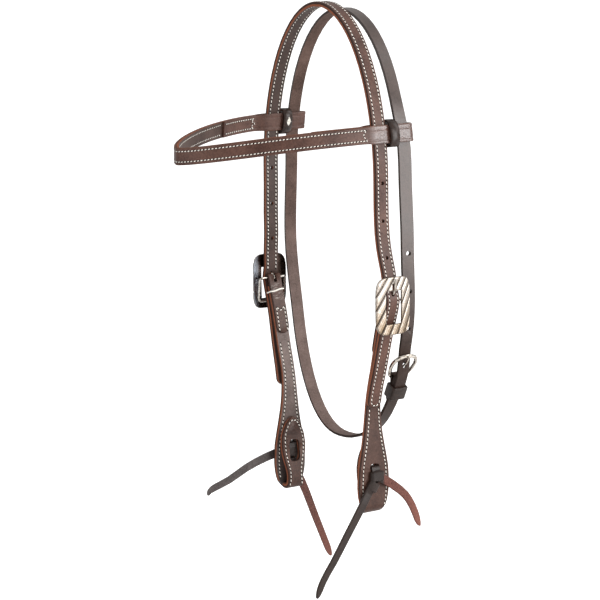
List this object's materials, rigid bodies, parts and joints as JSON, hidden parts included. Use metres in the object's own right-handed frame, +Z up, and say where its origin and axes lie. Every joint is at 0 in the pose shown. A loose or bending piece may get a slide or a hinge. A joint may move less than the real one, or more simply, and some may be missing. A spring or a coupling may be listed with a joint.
{
  "type": "western headstall",
  "caption": "Western browband headstall of doubled and stitched leather, with cart buckles on the cheeks, a buckled throatlatch and bit ends tied with lace.",
  "frame": {"origin": "underside of the crown where it rests on the poll", "axes": "+X to the horse's near (left) side, -Y to its forehead, +Z up"},
  "size_m": [0.2264, 0.2464, 0.6099],
  "materials": {
    "grain_leather": "dark chocolate bridle leather, satin, cream stitching",
    "lining_leather": "dark chocolate lining leather, matt",
    "lace_leather": "dark lace leather with a reddish flesh side",
    "antique_plate": "antique silver with dark recesses",
    "nickel": "bright nickel plate"
  },
  "bodies": {
    "crown": {"crown_outer": "grain_leather", "crown_lining": "lining_leather", "near_buckle_plate": "antique_plate", "off_buckle_plate": "antique_plate", "near_buckle_loop": "antique_plate", "off_buckle_loop": "antique_plate"},
    "browband": {"browband_outer": "grain_leather", "browband_lining": "lining_leather", "near_browband_keeper": "grain_leather", "off_browband_keeper": "grain_leather"},
    "near_cheek": {"near_cheek_outer": "grain_leather", "near_cheek_lining": "lining_leather", "near_bit_tie": "lace_leather"},
    "off_cheek": {"off_cheek_outer": "grain_leather", "off_cheek_lining": "lining_leather", "off_bit_tie": "lace_leather"},
    "near_buckle_tongue": {"near_buckle_tongue": "nickel"},
    "off_buckle_tongue": {"off_buckle_tongue": "nickel"},
    "throatlatch": {"throatlatch_strap": "grain_leather"},
    "throat_buckle": {"throat_buckle_frame": "nickel"},
    "throat_tongue": {"throat_buckle_tongue": "nickel"},
    "throat_keeper": {"throat_keeper": "grain_leather"}
  },
  "joints": [
    {"name": "browband_slide", "type": "slide", "parent": "crown", "child": "browband", "axis": [0, 0, 1], "range_m": [-0.005, 0.004]},
    {"name": "near_cheek_hinge", "type": "hinge", "parent": "crown", "child": "near_cheek", "pos_m": [0.1002, 0.005, -0.29164], "axis": [0, 1, 0], "range_deg": [0, 10]},
    {"name": "near_buckle_tongue_hinge", "type": "hinge", "parent": "crown", "child": "near_buckle_tongue", "pos_m": [0.1002, 0.005, -0.29164], "axis": [0, 1, 0], "range_deg": [0, 4]},
    {"name": "off_cheek_hinge", "type": "hinge", "parent": "crown", "child": "off_cheek", "pos_m": [-0.1002, 0.005, -0.29164], "axis": [0, -1, 0], "range_deg": [0, 10]},
    {"name": "off_buckle_tongue_hinge", "type": "hinge", "parent": "crown", "child": "off_buckle_tongue", "pos_m": [-0.1002, 0.005, -0.29164], "axis": [0, -1, 0], "range_deg": [0, 4]},
    {"name": "throatlatch_swing", "type": "hinge", "parent": "crown", "child": "throatlatch", "pos_m": [0, 0.0273, -0.124], "axis": [1, 0, 0], "range_deg": [0, 2.5]},
    {"name": "throat_buckle_hinge", "type": "hinge", "parent": "throatlatch", "child": "throat_buckle", "pos_m": [0.07675, 0.0353, -0.37591], "axis": [0, 1, 0], "range_deg": [0, 1.5]},
    {"name": "throat_tongue_hinge", "type": "hinge", "parent": "throat_buckle", "child": "throat_tongue", "pos_m": [0.07675, 0.0353, -0.37591], "axis": [0, 1, 0], "range_deg": [0, 2]},
    {"name": "throat_keeper_slide", "type": "slide", "parent": "throatlatch", "child": "throat_keeper", "axis": [0.4275, 0, 0.904], "range_m": [-0.002, 0.0015]}
  ]
}
